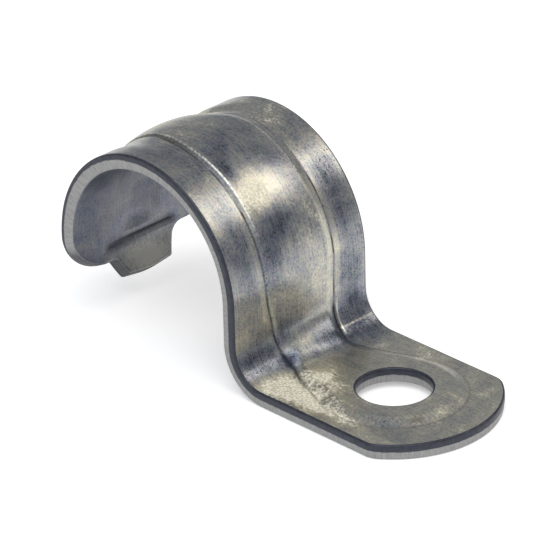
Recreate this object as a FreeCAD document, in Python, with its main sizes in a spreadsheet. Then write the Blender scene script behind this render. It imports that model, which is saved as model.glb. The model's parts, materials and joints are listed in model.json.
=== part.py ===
"""One-hole conduit strap: one pressed and folded sheet of zinc-plated steel.

Frame: the origin lies on the conduit's centreline at the strap's mid-width. +X runs
from the hook to the screw, +Y along the conduit and +Z away from the wall. The foot's
underside is the plane z = -axis_height.

The sheet has one thickness all over. Its middle is pressed outwards into a stiffening
rib, which runs from the hook over the arch, down the leg and through the bend, and
opens into a round boss about the screw hole. So every raised form has its hollow on
the other side of the sheet.
"""
import FreeCAD, Part
import math
import os

import Sketcher
from FreeCAD import Placement, Rotation, Vector

# Driving sizes in millimetres and degrees: name, value, what it measures.
SIZES = [
    ("conduit_diameter", 17.93, "outside of half-inch steel conduit"),
    ("seat_clearance", 0.135, "gap all round between conduit and strap"),
    ("gauge", 1.4, "thickness of the sheet"),
    ("strap_width", 15.5, "width of the sheet"),
    ("axis_height", 7.75, "wall to the conduit's centreline"),
    ("bend_radius", 3.0, "inside of the bend from leg to foot"),
    ("gusset_radius", 4.5, "the same bend along the rib, which bridges the corner"),
    ("hole_reach", 21.35, "conduit's centreline to the screw hole"),
    ("hole_diameter", 6.4, "screw hole"),
    ("foot_end_margin", 1.35, "how much its rounded end exceeds half the width, about the hole"),
    ("foot_corner_radius", 2.0, "where the rounded end meets the straight sides"),
    ("rib_base_width", 7.8, "rib at the foot of its walls"),
    ("rib_top_width", 6.6, "rib between its shoulders"),
    ("rib_shoulder", 0.28, "height of the shoulders"),
    ("rib_height", 0.48, "height of the crown"),
    ("rib_root", 0.75, "depth to which the rib is joined into the sheet"),
    ("hollow_reach", 1.5, "depth from which the rib's hollow is cleared"),
    ("rib_end_angle", 2.0, "where the rib starts to run out, below the centreline"),
    ("runout_radius", 1.5, "turn at which the rib sinks back, inside the sheet"),
    ("runout_turn", 28.0, "slope at which it sinks"),
    ("runout_length", 1.2, "straight part of the slope"),
    ("boss_diameter", 12.4, "boss round the screw hole, at its base"),
    ("boss_height", 0.52, "rise of the boss"),
    ("boss_wall_width", 0.75, "width of its sloping wall"),
    ("end_cut_angle", 25.0, "direction in which the hook's end is cut to shape"),
    ("tongue_angle", 32.0, "tip of the tongue, below the centreline"),
    ("tongue_tip_width", 5.1, "tongue at its tip"),
    ("tongue_flare", 24.0, "how far its sides open towards the ears"),
    ("tongue_bulge", 0.3, "rise of its curved tip"),
    ("near_ear_angle", 22.0, "end of the ear on the -Y side, below the centreline"),
    ("far_ear_angle", 16.3, "end of the ear on the +Y side"),
    ("near_ear_corner", 3.6, "rounded outer corner of the -Y ear"),
    ("far_ear_corner", 2.6, "rounded outer corner of the +Y ear"),
    ("near_root_radius", 0.4, "between the -Y ear and the tongue"),
    ("far_root_radius", 1.5, "between the +Y ear and the tongue"),
]
CUT_MARGIN = 1.0  # how far a cut reaches past what it removes

doc = FreeCAD.newDocument("conduit_strap")
sheet = doc.addObject("Spreadsheet::Sheet", "sizes")
for row, (alias, value, note) in enumerate(SIZES, start=1):
    sheet.set(f"A{row}", alias)
    sheet.set(f"B{row}", str(value))
    sheet.set(f"C{row}", note)
    sheet.setAlias(f"B{row}", alias)
doc.recompute()

# Sizes that follow from the driving ones, as expressions on the sheet.
SEAT = "(sizes.conduit_diameter / 2 + sizes.seat_clearance)"
OUTSIDE = f"({SEAT} + sizes.gauge)"
MIDDLE = f"({SEAT} + sizes.gauge / 2)"
FOOT_UNDERSIDE = "(-sizes.axis_height)"
FOOT_TOP = "(sizes.gauge - sizes.axis_height)"
FOOT_START = f"({OUTSIDE} + sizes.bend_radius)"
FOOT_END = "(sizes.strap_width / 2 + sizes.foot_end_margin)"
RIB_WALL = "atan(2 * sizes.rib_shoulder / (sizes.rib_base_width - sizes.rib_top_width))"
BOSS_WALL = "atan(sizes.boss_wall_width / sizes.boss_height)"
# In a sheet of one thickness, the inner corners of a sloping wall lie further in.
RIB_INSET = f"(sizes.gauge * tan({RIB_WALL} / 2))"
BOSS_INSET = f"(sizes.gauge * tan(45 deg - {BOSS_WALL} / 2))"
UNDER_GUSSET = "(sizes.gusset_radius + sizes.gauge)"
OUTER_RUNOUT = "(sizes.runout_radius + sizes.gauge)"
TONGUE_TIP = f"({MIDDLE} * sin((sizes.tongue_angle - sizes.end_cut_angle) * 1 deg))"


def value(expression):
    """What an expression comes to, as a plain number."""
    result = sheet.evalExpression(expression)
    return float(getattr(result, "Value", result))


def ray(angle):
    """The unit vector in a direction given in degrees."""
    return Vector(math.cos(math.radians(angle)), math.sin(math.radians(angle)))


body = doc.addObject("PartDesign::Body", "strap")
body.Label = "strap"


def origin_plane(role):
    """One of the body's own planes through the origin."""
    return next(plane for plane in body.Origin.OriginFeatures if plane.Role == role)


class Drawing:
    """A sketch on one of the body's origin planes, with its sizes tied to the sheet."""

    def __init__(self, name, role, level="0", tilt="0"):
        self.sketch = body.newObject("Sketcher::SketchObject", name)
        self.sketch.AttachmentSupport = [(origin_plane(role), "")]
        self.sketch.MapMode = "FlatFace"
        about_x = Rotation(Vector(1, 0, 0), value(tilt))
        self.sketch.AttachmentOffset = Placement(Vector(), about_x)
        self.sketch.setExpression("AttachmentOffset.Base.z", level)
        self.sketch.setExpression("AttachmentOffset.Rotation.Angle", f"({tilt}) * 1 deg")

    def line(self, start, end):
        return self.sketch.addGeometry(Part.LineSegment(Vector(*start), Vector(*end)))

    def arc(self, centre, radius, first, last):
        """An arc drawn anticlockwise from one direction to another, in degrees."""
        circle = Part.Circle(Vector(*centre), Vector(0, 0, 1), radius)
        return self.sketch.addGeometry(
            Part.ArcOfCircle(circle, math.radians(first), math.radians(last)))

    def turn(self, side, centre, radius, first, last):
        """An arc drawn for the +Y side, or its mirror image, and its first and last end."""
        if side > 0:
            return self.arc(centre, radius, first, last), START, END
        mirrored = (-centre[0], centre[1])
        return self.arc(mirrored, radius, 180 - last, 180 - first), END, START

    def tie(self, kind, *places):
        return self.sketch.addConstraint(Sketcher.Constraint(kind, *places))

    def drive(self, kind, *places, by):
        """A dimension whose value follows the sheet."""
        amount = value(by)
        if kind == "Angle":
            amount = math.radians(amount)
        index = self.tie(kind, *places, amount)
        unit = "deg" if kind == "Angle" else "mm"
        self.sketch.setExpression(f"Constraints[{index}]", f"({by}) * 1 {unit}")

    def drive_outwards(self, side, inner, outer, by):
        """A distance across the sheet, measured away from its middle."""
        ends = (inner, outer) if side > 0 else (outer, inner)
        self.drive("DistanceX", *ends[0], *ends[1], by=by)


START, END, CENTRE = 1, 2, 3  # a curve's points, as the sketcher counts them
ORIGIN = (-1, 1)
X_AXIS, Y_AXIS = -1, -2

seat = value(SEAT)
outside = value(OUTSIDE)
gauge = value("sizes.gauge")
foot_start = value(FOOT_START)
foot_top = value(FOOT_TOP)
half_width = value("sizes.strap_width / 2")


def draw_side_profile():
    """The sheet seen along the conduit: hook and arch, leg, and the bend to the foot."""
    drawing = Drawing("side_profile", "XZ_Plane")
    tip = 180 + value("sizes.tongue_angle") + CUT_MARGIN
    bend = value("sizes.bend_radius")
    bend_level = foot_top + bend
    outer = drawing.arc((0, 0), outside, 0, tip)
    inner = drawing.arc((0, 0), seat, 0, tip)
    tip_face = drawing.line(ray(tip) * outside, ray(tip) * seat)
    inner_leg = drawing.line((seat, 0), (seat, bend_level))
    under_bend = drawing.arc((foot_start, bend_level), bend + gauge, 180, 270)
    foot_face = drawing.line((foot_start, foot_top - gauge), (foot_start, foot_top))
    top_bend = drawing.arc((foot_start, bend_level), bend, 180, 270)
    outer_leg = drawing.line((outside, bend_level), (outside, 0))

    drawing.tie("Coincident", outer, CENTRE, *ORIGIN)
    drawing.tie("Coincident", inner, CENTRE, *ORIGIN)
    drawing.tie("Coincident", outer, END, tip_face, START)
    drawing.tie("Coincident", tip_face, END, inner, END)
    drawing.tie("PointOnObject", *ORIGIN, tip_face)
    drawing.tie("Tangent", inner, START, inner_leg, START)
    drawing.tie("Tangent", inner_leg, END, under_bend, START)
    drawing.tie("Coincident", under_bend, END, foot_face, START)
    drawing.tie("Coincident", foot_face, END, top_bend, END)
    drawing.tie("Tangent", top_bend, START, outer_leg, START)
    drawing.tie("Tangent", outer_leg, END, outer, START)
    drawing.tie("Vertical", inner_leg)
    drawing.tie("Vertical", outer_leg)
    drawing.tie("Vertical", foot_face)
    drawing.tie("Coincident", under_bend, CENTRE, top_bend, CENTRE)
    drawing.tie("PointOnObject", top_bend, CENTRE, foot_face)
    drawing.drive("Radius", outer, by=OUTSIDE)
    drawing.drive("Radius", inner, by=SEAT)
    drawing.drive("Radius", top_bend, by="sizes.bend_radius")
    drawing.drive("DistanceY", foot_face, START, *ORIGIN, by="sizes.axis_height")
    drawing.drive("Angle", tip_face, by=f"sizes.tongue_angle + {CUT_MARGIN}")
    return drawing.sketch


def draw_foot_outline():
    """The foot from above: straight sides, and an end rounded about the screw hole."""
    drawing = Drawing("foot_outline", "XY_Plane", "-sizes.axis_height")
    reach = value("sizes.hole_reach")
    end_radius = value(FOOT_END)
    corner = value("sizes.foot_corner_radius")
    corner_y = half_width - corner
    corner_x = reach + math.sqrt((end_radius - corner) ** 2 - corner_y ** 2)
    slope = math.degrees(math.atan2(corner_y, corner_x - reach))
    root = drawing.line((foot_start, half_width), (foot_start, -half_width))
    near_side = drawing.line((foot_start, -half_width), (corner_x, -half_width))
    near_corner = drawing.arc((corner_x, -corner_y), corner, -90, -slope)
    end = drawing.arc((reach, 0), end_radius, -slope, slope)
    far_corner = drawing.arc((corner_x, corner_y), corner, slope, 90)
    far_side = drawing.line((corner_x, half_width), (foot_start, half_width))

    drawing.tie("Coincident", root, END, near_side, START)
    drawing.tie("Tangent", near_side, END, near_corner, START)
    drawing.tie("Tangent", near_corner, END, end, START)
    drawing.tie("Tangent", end, END, far_corner, START)
    drawing.tie("Tangent", far_corner, END, far_side, START)
    drawing.tie("Coincident", far_side, END, root, START)
    drawing.tie("Horizontal", near_side)
    drawing.tie("Horizontal", far_side)
    drawing.tie("Symmetric", root, START, root, END, X_AXIS)
    drawing.tie("PointOnObject", end, CENTRE, X_AXIS)
    drawing.tie("Equal", near_corner, far_corner)
    drawing.drive("DistanceX", *ORIGIN, end, CENTRE, by="sizes.hole_reach")
    drawing.drive("DistanceX", *ORIGIN, root, END, by=FOOT_START)
    drawing.drive("DistanceY", root, END, root, START, by="sizes.strap_width")
    drawing.drive("Radius", end, by=FOOT_END)
    drawing.drive("Radius", near_corner, by="sizes.foot_corner_radius")
    return drawing.sketch


def draw_boss(name, level, inset):
    """Where the rib opens into the boss: a circle, and two lines that meet the rib."""
    drawing = Drawing(name, "XY_Plane", level)
    radius_size = f"sizes.boss_diameter / 2 - {inset}"
    mouth_size = f"sizes.rib_base_width - 2 * {inset}"
    reach = value("sizes.hole_reach")
    radius = value(radius_size)
    mouth = value(mouth_size) / 2
    run = reach - foot_start
    slope = math.asin(radius / math.hypot(run, mouth)) - math.atan2(mouth, run)
    touch = Vector(reach - radius * math.sin(slope), radius * math.cos(slope))
    turn = 90 + math.degrees(slope)
    round_edge = drawing.arc((reach, 0), radius, -turn, turn)
    far_line = drawing.line(touch, (foot_start, mouth))
    closing = drawing.line((foot_start, mouth), (foot_start, -mouth))
    near_line = drawing.line((foot_start, -mouth), (touch.x, -touch.y))

    drawing.tie("Tangent", round_edge, END, far_line, START)
    drawing.tie("Coincident", far_line, END, closing, START)
    drawing.tie("Coincident", closing, END, near_line, START)
    drawing.tie("Tangent", near_line, END, round_edge, START)
    drawing.tie("PointOnObject", round_edge, CENTRE, X_AXIS)
    drawing.tie("Symmetric", closing, START, closing, END, X_AXIS)
    drawing.drive("DistanceX", *ORIGIN, round_edge, CENTRE, by="sizes.hole_reach")
    drawing.drive("DistanceX", *ORIGIN, closing, END, by=FOOT_START)
    drawing.drive("DistanceY", closing, END, closing, START, by=mouth_size)
    drawing.drive("Radius", round_edge, by=radius_size)
    return drawing.sketch


def draw_rib_path(name, arch_size, foot_level, gusset_size, runout_size):
    """The way the rib takes, from the screw hole to where it sinks into the hook."""
    drawing = Drawing(name, "XZ_Plane")
    reach = value("sizes.hole_reach")
    arch = value(arch_size)
    level = value(foot_level)
    gusset = value(gusset_size)
    runout = value(runout_size)
    corner = (arch + gusset, level + gusset)
    end_angle = 180 + value("sizes.rib_end_angle")
    last_angle = end_angle + value("sizes.runout_turn")
    pivot = ray(end_angle) * (arch - runout)
    sink_start = pivot + ray(last_angle) * runout
    sink_end = sink_start + ray(last_angle + 90) * value("sizes.runout_length")
    foot = drawing.line((reach, level), (corner[0], level))
    gusset_arc = drawing.arc(corner, gusset, 180, 270)
    leg = drawing.line((arch, corner[1]), (arch, 0))
    arch_arc = drawing.arc((0, 0), arch, 0, end_angle)
    runout_arc = drawing.arc(pivot, runout, end_angle, last_angle)
    sink = drawing.line(sink_start, sink_end)

    drawing.tie("Horizontal", foot)
    drawing.tie("Tangent", foot, END, gusset_arc, END)
    drawing.tie("Tangent", gusset_arc, START, leg, START)
    drawing.tie("Vertical", leg)
    drawing.tie("Tangent", leg, END, arch_arc, START)
    drawing.tie("Coincident", arch_arc, CENTRE, *ORIGIN)
    drawing.tie("Tangent", arch_arc, END, runout_arc, START)
    drawing.tie("Tangent", runout_arc, END, sink, START)
    drawing.drive("DistanceX", *ORIGIN, foot, START, by="sizes.hole_reach")
    drawing.drive("DistanceY", foot, START, *ORIGIN, by=f"-{foot_level}")
    drawing.drive("Radius", gusset_arc, by=gusset_size)
    drawing.drive("Radius", arch_arc, by=arch_size)
    drawing.drive("Radius", runout_arc, by=runout_size)
    drawing.drive("Angle", arch_arc, by="180 + sizes.rib_end_angle")
    drawing.drive("Angle", runout_arc, by="sizes.runout_turn")
    drawing.drive("Distance", sink, by="sizes.runout_length")
    return drawing.sketch


def draw_rib_section(name, level, inset, root_size):
    """The rib cut across: a low crown between two shoulders, sloping walls, deep root."""
    drawing = Drawing(name, "YZ_Plane", "sizes.hole_reach")
    base_size = f"(sizes.rib_base_width / 2 - {inset})"
    shoulder_size = f"(sizes.rib_top_width / 2 - {inset})"
    rise_size = "(sizes.rib_height - sizes.rib_shoulder)"
    crown_size = f"({shoulder_size} ^ 2 + {rise_size} ^ 2) / (2 * {rise_size})"
    base_y = value(base_size)
    shoulder_y = value(shoulder_size)
    base_z = value(level)
    shoulder_z = base_z + value("sizes.rib_shoulder")
    root_z = base_z - value(root_size)
    crown = value(crown_size)
    crown_centre = (0, base_z + value("sizes.rib_height") - crown)
    spread = math.degrees(math.asin(shoulder_y / crown))
    crown_arc = drawing.arc(crown_centre, crown, 90 - spread, 90 + spread)
    near_wall = drawing.line((-shoulder_y, shoulder_z), (-base_y, base_z))
    near_side = drawing.line((-base_y, base_z), (-base_y, root_z))
    root = drawing.line((-base_y, root_z), (base_y, root_z))
    far_side = drawing.line((base_y, root_z), (base_y, base_z))
    far_wall = drawing.line((base_y, base_z), (shoulder_y, shoulder_z))

    loop = [near_wall, near_side, root, far_side, far_wall]
    drawing.tie("Coincident", crown_arc, END, near_wall, START)
    for before, after in zip(loop, loop[1:]):
        drawing.tie("Coincident", before, END, after, START)
    drawing.tie("Coincident", far_wall, END, crown_arc, START)
    drawing.tie("Vertical", near_side)
    drawing.tie("Horizontal", root)
    drawing.tie("Vertical", far_side)
    drawing.tie("Symmetric", near_wall, START, far_wall, END, Y_AXIS)
    drawing.tie("Symmetric", near_wall, END, far_wall, START, Y_AXIS)
    drawing.drive("Radius", crown_arc, by=crown_size)
    drawing.drive("DistanceX", near_wall, START, far_wall, END, by=f"2 * {shoulder_size}")
    drawing.drive("DistanceX", near_side, START, far_side, END, by=f"2 * {base_size}")
    drawing.drive("DistanceY", near_wall, END, *ORIGIN, by=f"-{level}")
    drawing.drive("DistanceY", near_wall, END, near_wall, START, by="sizes.rib_shoulder")
    drawing.drive("Distance", near_side, by=root_size)
    return drawing.sketch


def draw_ear(drawing, side, name, past_tip):
    """One side of the hook's end: the tongue's edge, its root, the ear and its corner."""
    ear_size = f"{MIDDLE} * sin((sizes.{name}_ear_angle - sizes.end_cut_angle) * 1 deg)"
    flare = value("sizes.tongue_flare")
    tip_y = value("sizes.tongue_tip_width / 2")
    tip_v = value(TONGUE_TIP)
    ear_v = value(ear_size)
    corner = value(f"sizes.{name}_ear_corner")
    root = value(f"sizes.{name}_root_radius")
    meet_y = tip_y + (tip_v - ear_v) * math.tan(math.radians(flare))
    root_y = meet_y + root / math.tan(math.radians(45 + flare / 2))
    root_end = (root_y - root * ray(flare).x, ear_v + root - root * ray(flare).y)
    corner_y = half_width - corner
    edge_v = ear_v - corner
    past_side = half_width + CUT_MARGIN

    wall = drawing.line((side * root_end[0], root_end[1]), (side * tip_y, tip_v))
    root_arc, wall_end, root_foot = drawing.turn(
        side, (root_y, ear_v + root), root, 180 + flare, 270)
    ear = drawing.line((side * root_y, ear_v), (side * corner_y, ear_v))
    corner_arc, corner_edge, corner_start = drawing.turn(
        side, (corner_y, edge_v), corner, 0, 90)
    ledge = drawing.line((side * half_width, edge_v), (side * past_side, edge_v))
    beyond = drawing.line((side * past_side, edge_v), (side * past_side, past_tip))

    drawing.tie("Tangent", wall, START, root_arc, wall_end)
    drawing.tie("Tangent", root_arc, root_foot, ear, START)
    drawing.tie("Tangent", ear, END, corner_arc, corner_start)
    drawing.tie("Coincident", corner_arc, corner_edge, ledge, START)
    drawing.tie("Coincident", ledge, END, beyond, START)
    drawing.tie("Horizontal", ear)
    drawing.tie("Horizontal", ledge)
    drawing.tie("Vertical", beyond)
    drawing.tie("Horizontal", corner_arc, CENTRE, corner_arc, corner_edge)
    drawing.drive("Angle", wall, by=f"90 + {side} * sizes.tongue_flare")
    drawing.drive("Radius", root_arc, by=f"sizes.{name}_root_radius")
    drawing.drive("Radius", corner_arc, by=f"sizes.{name}_ear_corner")
    drawing.drive("DistanceY", *ORIGIN, ear, START, by=ear_size)
    drawing.drive_outwards(side, ORIGIN, (ledge, START), by="sizes.strap_width / 2")
    drawing.drive_outwards(side, (ledge, START), (ledge, END), by=str(CUT_MARGIN))
    return wall, beyond


def draw_hook_end():
    """What is cut off round the hook's end, which leaves two ears and the tongue."""
    drawing = Drawing("hook_end", "YZ_Plane", tilt="180 - sizes.end_cut_angle")
    tip_radius_size = (
        "((sizes.tongue_tip_width / 2) ^ 2 + sizes.tongue_bulge ^ 2) / (2 * sizes.tongue_bulge)")
    top_size = f"{TONGUE_TIP} + sizes.tongue_bulge"
    tip_radius = value(tip_radius_size)
    top = value(top_size)
    past_tip = top + CUT_MARGIN
    past_side = half_width + CUT_MARGIN
    spread = math.degrees(math.asin(value("sizes.tongue_tip_width / 2") / tip_radius))
    tip = drawing.arc((0, top - tip_radius), tip_radius, 90 - spread, 90 + spread)
    near_wall, near_beyond = draw_ear(drawing, -1, "near", past_tip)
    far_wall, far_beyond = draw_ear(drawing, 1, "far", past_tip)
    across = drawing.line((-past_side, past_tip), (past_side, past_tip))

    drawing.tie("Coincident", near_wall, END, tip, END)
    drawing.tie("Coincident", far_wall, END, tip, START)
    drawing.tie("PointOnObject", tip, CENTRE, Y_AXIS)
    drawing.tie("Horizontal", tip, START, tip, END)
    drawing.tie("Coincident", near_beyond, END, across, START)
    drawing.tie("Coincident", far_beyond, END, across, END)
    drawing.tie("Horizontal", across)
    drawing.drive("DistanceX", tip, END, tip, START, by="sizes.tongue_tip_width")
    drawing.drive("DistanceY", *ORIGIN, tip, START, by=TONGUE_TIP)
    drawing.drive("Radius", tip, by=tip_radius_size)
    drawing.drive("DistanceY", *ORIGIN, across, START, by=f"{top_size} + {CUT_MARGIN}")
    return drawing.sketch


def draw_screw_hole():
    """The screw hole, which is also the centre of the foot's rounded end."""
    drawing = Drawing("hole_edge", "XY_Plane")
    radius_size = "sizes.hole_diameter / 2"
    edge = drawing.sketch.addGeometry(
        Part.Circle(Vector(value("sizes.hole_reach"), 0), Vector(0, 0, 1), value(radius_size)))
    drawing.tie("PointOnObject", edge, CENTRE, X_AXIS)
    drawing.drive("DistanceX", *ORIGIN, edge, CENTRE, by="sizes.hole_reach")
    drawing.drive("Radius", edge, by=radius_size)
    return drawing.sketch


def add(kind, name, profile, path=None, **settings):
    """A feature of the body. Texts that start with = are expressions on the sheet."""
    feature = body.newObject(kind, name)
    feature.Profile = (profile, [""])
    feature.Refine = False  # keeps the two halves of the hook's inside as faces of their own
    if path:
        feature.Spine = (path, [""])
    for setting, wanted in settings.items():
        if isinstance(wanted, str) and wanted.startswith("="):
            feature.setExpression(setting, wanted[1:])
        else:
            setattr(feature, setting, wanted)
    doc.recompute()
    return feature


def mirror(feature, name, role):
    """The same feature again, on the other side of one of the body's origin planes."""
    mirrored = body.newObject("PartDesign::Mirrored", name)
    mirrored.Originals = [feature]
    mirrored.MirrorPlane = (origin_plane(role), [""])
    mirrored.Refine = False
    body.Tip = mirrored
    doc.recompute()


# The sheet and its bends. The conduit's seat is one band on each side of the rib.
far_half = add("PartDesign::Pad", "far_half", draw_side_profile(),
               Length="=sizes.strap_width / 2", Reversed=True)
mirror(far_half, "near_half", "XZ_Plane")
add("PartDesign::Pad", "foot", draw_foot_outline(), Length="=sizes.gauge")

# The raised side of the pressing.
add("PartDesign::Pad", "boss", draw_boss("boss_outline", FOOT_TOP, "0"),
    Length="=sizes.boss_height", TaperAngle=f"=-{BOSS_WALL}")
add("PartDesign::AdditivePipe", "rib",
    draw_rib_section("rib_section", FOOT_TOP, "0", "sizes.rib_root"),
    draw_rib_path("rib_path", OUTSIDE, FOOT_TOP, "sizes.gusset_radius", OUTER_RUNOUT))

# Its hollow side.
add("PartDesign::SubtractivePipe", "rib_hollow",
    draw_rib_section("hollow_section", FOOT_UNDERSIDE, RIB_INSET, "sizes.hollow_reach"),
    draw_rib_path("hollow_path", SEAT, FOOT_UNDERSIDE, UNDER_GUSSET, "sizes.runout_radius"))
add("PartDesign::Pocket", "boss_hollow",
    draw_boss("boss_hollow_outline", FOOT_UNDERSIDE, BOSS_INSET),
    Length="=sizes.boss_height", TaperAngle=f"=-{BOSS_WALL}", Reversed=True)

# The cuts.
add("PartDesign::Pocket", "hook_end_cut", draw_hook_end(),
    Length=f"={OUTSIDE} + {CUT_MARGIN}", Reversed=True)
add("PartDesign::Pocket", "screw_hole", draw_screw_hole(), Type="ThroughAll")

for item in doc.Objects:
    if "Invalid" in item.State or "Error" in item.State:
        raise RuntimeError(f"{item.Name} failed: {item.State}")
if body.Shape.isNull() or not body.Shape.isValid() or len(body.Shape.Solids) != 1:
    raise RuntimeError("the strap is not one valid solid")

os.makedirs("parts", exist_ok=True)
body.Shape.exportStep("parts/strap.step")
print(f"strap: {body.Shape.Volume:.1f} mm3, {len(body.Shape.Faces)} faces")
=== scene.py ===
"""Looks of a one-hole conduit strap: a flat blank is sheared, pressed and folded, then finished."""

import json
import math
from types import SimpleNamespace

import bmesh
import bpy
import numpy as np
from mathutils import Matrix, Vector
from mathutils.geometry import delaunay_2d_cdt


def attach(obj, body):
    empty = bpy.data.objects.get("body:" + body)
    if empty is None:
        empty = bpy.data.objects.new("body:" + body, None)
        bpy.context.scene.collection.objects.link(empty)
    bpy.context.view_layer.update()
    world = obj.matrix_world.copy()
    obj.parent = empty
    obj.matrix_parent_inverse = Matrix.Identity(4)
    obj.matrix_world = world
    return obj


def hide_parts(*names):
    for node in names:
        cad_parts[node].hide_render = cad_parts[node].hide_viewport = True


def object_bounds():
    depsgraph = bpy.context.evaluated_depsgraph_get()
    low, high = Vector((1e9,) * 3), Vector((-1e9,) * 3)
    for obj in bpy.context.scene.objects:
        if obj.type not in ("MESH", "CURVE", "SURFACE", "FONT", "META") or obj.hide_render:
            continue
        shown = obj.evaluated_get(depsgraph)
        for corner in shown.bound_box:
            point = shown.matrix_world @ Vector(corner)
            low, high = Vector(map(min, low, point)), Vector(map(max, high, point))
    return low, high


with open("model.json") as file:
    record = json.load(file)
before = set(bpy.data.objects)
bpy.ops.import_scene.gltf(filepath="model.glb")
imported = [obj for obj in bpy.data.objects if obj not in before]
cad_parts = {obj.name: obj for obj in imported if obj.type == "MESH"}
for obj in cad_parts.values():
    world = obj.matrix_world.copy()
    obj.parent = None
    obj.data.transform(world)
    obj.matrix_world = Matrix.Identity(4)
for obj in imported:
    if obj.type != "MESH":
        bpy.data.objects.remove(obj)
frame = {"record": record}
cad_low, cad_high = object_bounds()

MM = 0.001

# Sizes from the frame.
mounts = {mount["name"]: mount for mount in frame["record"]["mounts"]}
SEAT_RADIUS = mounts["conduit_seat"]["dims"]["r_mm"] * MM
HOLE_RADIUS = mounts["screw_hole"]["dims"]["r_mm"] * MM
HOLE_X = mounts["screw_hole"]["pos_m"][0]
GAUGE = mounts["screw_hole"]["dims"]["length_mm"] * MM
WALL_LEVEL = mounts["wall_face"]["pos_m"][2]
HALF_WIDTH = (cad_high[1] - cad_low[1]) / 2
FOOT_END_RADIUS = cad_high[0] - HOLE_X

# The fold: hook and arch about the conduit, straight leg, tight bend, flat foot.
ARCH_RADIUS = SEAT_RADIUS + GAUGE / 2
BEND_INSIDE = 3.0 * MM
BEND_RADIUS = BEND_INSIDE + GAUGE / 2
FOOT_START_X = SEAT_RADIUS + GAUGE + BEND_INSIDE
BEND_LEVEL = WALL_LEVEL + GAUGE + BEND_INSIDE
HOOK_SWEEP = math.radians(216)

# Distances along the sheet, from where the arch meets the leg: the hook's are negative.
LEG = -BEND_LEVEL
BEND = BEND_RADIUS * math.pi / 2
FOOT_START = LEG + BEND
HOLE = FOOT_START + HOLE_X - FOOT_START_X
MID_BEND = LEG + BEND / 2

# Spacing of the blank's points: at its edge, over the foot, and along and across the
# rest, where they crowd together under the rib's walls.
OUTLINE_STEP = 0.15 * MM
FOOT_STEP = 0.17 * MM
ALONG_STEP = 0.3 * MM
ACROSS_STEP = 0.34 * MM
WALL_STEP = 0.09 * MM
WALL_BAND = (2.4 * MM, 4.3 * MM)
TOUCHING = 0.0001 * MM


def on_hook(degrees):
    """Where a place on the hook lies along the sheet, given as degrees round the conduit."""
    return -ARCH_RADIUS * math.radians(degrees)


# ---------------------------------------------------------------- the flat blank

def arc(centre, radius, first, last, count=24):
    """Points on an arc between two directions in degrees."""
    turns = np.radians(np.linspace(first, last, count))
    return np.stack([centre[0] + radius * np.cos(turns), centre[1] + radius * np.sin(turns)], 1)


def rounded(corners):
    """A path through corners given as (along, across, radius), each one rounded."""
    places = np.array([corner[:2] for corner in corners])
    points = [places[:1]]
    radii = [corner[2] for corner in corners[1:]]
    for before, here, after, radius in zip(places, places[1:], places[2:], radii):
        back = (before - here) / np.linalg.norm(before - here)
        on = (after - here) / np.linalg.norm(after - here)
        half = math.acos(np.clip(back @ on, -1, 1)) / 2
        middle = (back + on) / np.linalg.norm(back + on)
        centre = here + middle * radius / math.sin(half)
        start = here + back * radius / math.tan(half) - centre
        end = here + on * radius / math.tan(half) - centre
        first = math.atan2(start[1], start[0])
        sweep = (math.atan2(end[1], end[0]) - first + math.pi) % (2 * math.pi) - math.pi
        points.append(arc(centre, radius, math.degrees(first), math.degrees(first + sweep)))
    points.append(places[-1:])
    return np.concatenate(points)


def even(points, step):
    """The same closed path with its points the same distance apart."""
    closed = np.concatenate([points, points[:1]])
    lengths = np.linalg.norm(np.diff(closed, axis=0), axis=1)
    along = np.concatenate([[0], np.cumsum(lengths)])
    places = np.linspace(0, along[-1], round(along[-1] / step), endpoint=False)
    return np.stack([np.interp(places, along, closed[:, axis]) for axis in (0, 1)], 1)


def blank_outline():
    """The blank's edge: a foot rounded about the hole, two unequal ears and the tongue."""
    corner = 2.0 * MM
    corner_across = HALF_WIDTH - corner
    corner_along = math.sqrt((FOOT_END_RADIUS - corner) ** 2 - corner_across ** 2)
    slope = math.degrees(math.atan2(corner_across, corner_along))
    foot = np.concatenate([
        arc((HOLE + corner_along, -corner_across), corner, -90, -slope),
        arc((HOLE, 0), FOOT_END_RADIUS, -slope, slope, 60),
        arc((HOLE + corner_along, corner_across), corner, slope, 90),
    ])
    tip = on_hook(212)
    tip_half = 2.55 * MM
    tip_corner = 0.35 * MM
    tip_bulge = 0.3 * MM
    far_ear = on_hook(196.3)
    near_ear = on_hook(202)
    flare = math.tan(math.radians(24))
    far_root = tip_half + (far_ear - tip) * flare
    near_root = tip_half + (near_ear - tip) * flare
    hook = rounded([
        (HOLE, HALF_WIDTH, 0),
        (far_ear, HALF_WIDTH, 2.6 * MM),
        (far_ear, far_root, 1.5 * MM),
        (tip, tip_half, tip_corner),
        (tip - tip_bulge, 0, 8 * MM),
        (tip, -tip_half, tip_corner),
        (near_ear, -near_root, 0.4 * MM),
        (near_ear, -HALF_WIDTH, 3.6 * MM),
        (HOLE, -HALF_WIDTH, 0),
    ])
    return even(np.concatenate([foot, hook]), OUTLINE_STEP)


# A sheared edge from the outer face to the inner one: how far in and how far down.
# The face rolls over, the punch burnishes the first part, and the rest tears.
ROLL_IN = [(0.26, 0.0), (0.18, 0.008), (0.11, 0.025), (0.05, 0.06), (0.015, 0.11)]
BURNISH = [(0.0, 0.2), (0.0, 0.32), (0.0, 0.44), (0.0, 0.54), (0.005, 0.62)]
TEAR = [(0.02, 0.68), (0.035, 0.8), (0.045, 0.94), (0.055, 1.08), (0.07, 1.2)]
ROLL_OUT = [(0.1, 1.29), (0.15, 1.355), (0.22, 1.39), (0.3, 1.4)]
EDGE_ROWS = [(inset * MM, depth * MM) for inset, depth in ROLL_IN + BURNISH + TEAR + ROLL_OUT]


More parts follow.
